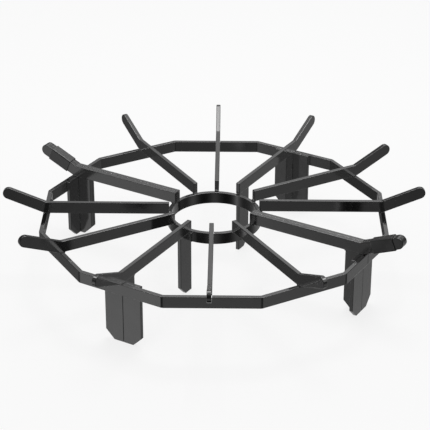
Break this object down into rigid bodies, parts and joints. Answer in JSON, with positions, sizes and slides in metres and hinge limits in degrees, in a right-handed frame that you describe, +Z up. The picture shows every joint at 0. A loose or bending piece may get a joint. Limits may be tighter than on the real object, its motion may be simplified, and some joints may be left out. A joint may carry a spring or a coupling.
{
  "type": "log grate",
  "caption": "Round log grate of black welded flat bar for a fire pit: spokes with upturned arms on a rim, hub and legs, in two halves held by slip-on sleeves.",
  "frame": {"origin": "on the ground under the middle of the hub", "axes": "+Z up; +Y towards the spoke at 12 o'clock, which is the back in the picture; +X towards the spoke at 3 o'clock"},
  "size_m": [0.9054, 0.9118, 0.198],
  "materials": {
    "spoke_coat": "semi-gloss",
    "frame_coat": "semi-gloss",
    "leg_coat": "semi-gloss",
    "sleeve_coat": "semi-gloss",
    "weld_coat": "semi-gloss"
  },
  "bodies": {
    "grate": {"spoke_11": "spoke_coat", "spoke_12": "spoke_coat", "spoke_1": "spoke_coat", "spoke_2": "spoke_coat", "spoke_3": "spoke_coat", "spoke_5": "spoke_coat", "spoke_6": "spoke_coat", "spoke_7": "spoke_coat", "spoke_8": "spoke_coat", "spoke_9": "spoke_coat", "split_bar_4_rear": "spoke_coat", "split_bar_4_front": "spoke_coat", "split_bar_10_rear": "spoke_coat", "split_bar_10_front": "spoke_coat", "rim_half_rear": "frame_coat", "rim_half_front": "frame_coat", "hub_ring_rear": "frame_coat", "hub_ring_front": "frame_coat", "leg_1_left_plate": "leg_coat", "leg_1_right_plate": "leg_coat", "leg_7_left_plate": "leg_coat", "leg_7_right_plate": "leg_coat", "leg_1_web": "leg_coat", "leg_7_web": "leg_coat", "leg_4_rear_plate": "leg_coat", "leg_4_front_plate": "leg_coat", "leg_10_rear_plate": "leg_coat", "leg_10_front_plate": "leg_coat", "leg_4_rear_web": "leg_coat", "leg_4_front_web": "leg_coat", "leg_10_rear_web": "leg_coat", "leg_10_front_web": "leg_coat", "inner_leg_1": "leg_coat", "inner_leg_7": "leg_coat", "spoke_welds_rear": "weld_coat", "spoke_welds_front": "weld_coat", "hub_welds_rear": "weld_coat", "hub_welds_front": "weld_coat", "leg_welds_rear": "weld_coat", "leg_welds_front": "weld_coat"},
    "sleeve_4": {"coupling_sleeve_4": "sleeve_coat"},
    "sleeve_10": {"coupling_sleeve_10": "sleeve_coat"}
  },
  "joints": [
    {"name": "sleeve_4_slide", "type": "slide", "parent": "grate", "child": "sleeve_4", "axis": [0.7972, -0.4603, 0.3907], "range_m": [-0.021, 0.075]},
    {"name": "sleeve_10_slide", "type": "slide", "parent": "grate", "child": "sleeve_10", "axis": [-0.7972, 0.4603, 0.3907], "range_m": [-0.016, 0.08]}
  ]
}
